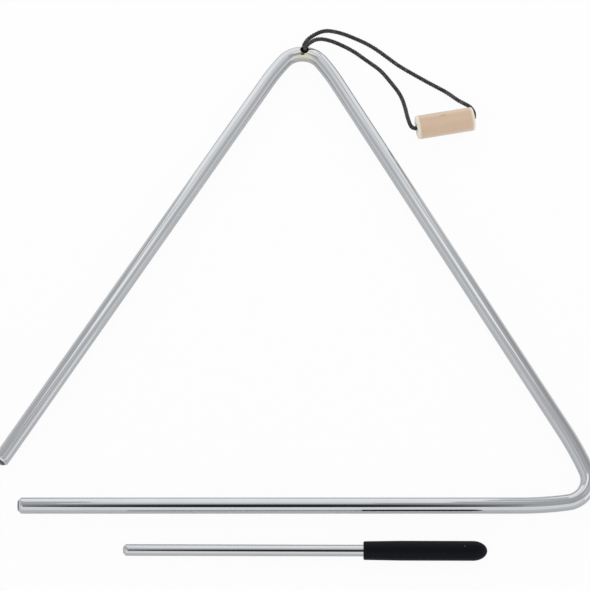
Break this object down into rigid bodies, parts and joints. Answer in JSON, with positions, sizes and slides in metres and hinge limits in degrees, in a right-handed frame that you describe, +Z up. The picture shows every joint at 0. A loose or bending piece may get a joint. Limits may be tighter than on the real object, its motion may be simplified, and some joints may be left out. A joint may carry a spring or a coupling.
{
  "type": "triangle instrument",
  "caption": "Bent chrome-plated steel triangle, open at one corner, with a braided cord and a wooden holder at its apex, and a straight steel beater with a black rubber grip.",
  "frame": {"origin": "on the table, under the middle of the box round the bar, the holder and the beater", "axes": "+X to the right along the base side, +Y away from the player towards the apex, +Z up"},
  "size_m": [0.2619, 0.2709, 0.0113],
  "materials": {
    "chrome_bar": "polished chrome plate",
    "chrome_rod": "polished chrome plate",
    "black_cord": "braided polyester",
    "pale_wood": "sanded, unvarnished",
    "black_rubber": "smooth moulded"
  },
  "bodies": {
    "triangle": {"triangle_bar": "chrome_bar"},
    "cord": {"cord_front_strand": "black_cord", "cord_rear_strand": "black_cord", "cord_knot": "black_cord"},
    "holder": {"wooden_holder": "pale_wood"},
    "beater": {"beater_rod": "chrome_rod", "beater_grip": "black_rubber"}
  },
  "joints": [
    {"name": "cord_swing", "type": "hinge", "parent": "triangle", "child": "cord", "pos_m": [0.00452, 0.12594, 0.0057], "axis": [0, 0, 1], "range_deg": [-8, 95]},
    {"name": "holder_turn", "type": "hinge", "parent": "cord", "child": "holder", "pos_m": [0.06962, 0.08754, 0.0055], "axis": [0.9833, 0.1822, 0], "continuous": true},
    {"name": "beater_lift", "type": "slide", "parent": "triangle", "child": "beater", "axis": [0, 0, 1], "range_m": [0, 0.1]}
  ]
}
